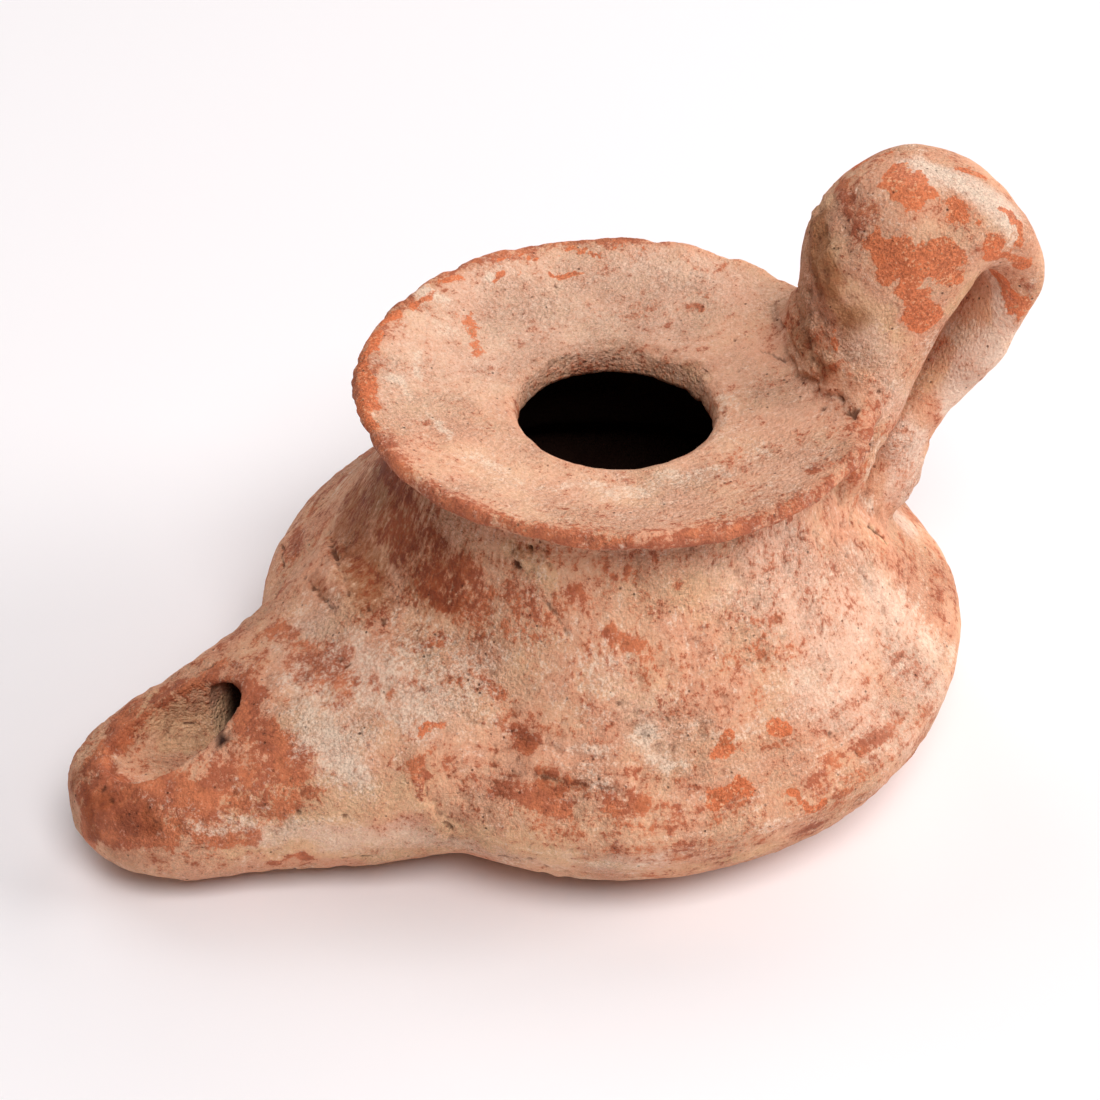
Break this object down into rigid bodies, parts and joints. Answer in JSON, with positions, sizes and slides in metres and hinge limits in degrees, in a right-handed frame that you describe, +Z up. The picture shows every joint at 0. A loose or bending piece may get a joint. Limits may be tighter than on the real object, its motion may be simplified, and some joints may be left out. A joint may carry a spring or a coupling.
{
  "type": "pottery oil lamp",
  "caption": "Wheel-thrown pottery oil lamp with a squat round body, wide flat-topped rim, filling hole, tubular nozzle and looped strap handle.",
  "frame": {"origin": "centre of the flat underside, on the wheel axis of the body", "axes": "+Z up along the wheel axis; -X points along the nozzle, so +X is the handle side; +Y completes the right-handed frame"},
  "size_m": [0.1107, 0.0802, 0.0671],
  "materials": {
    "fired_clay": "matt fired clay, worn orange-red slip over pinkish buff"
  },
  "bodies": {
    "root": {"lamp_body": "fired_clay"}
  },
  "joints": []
}
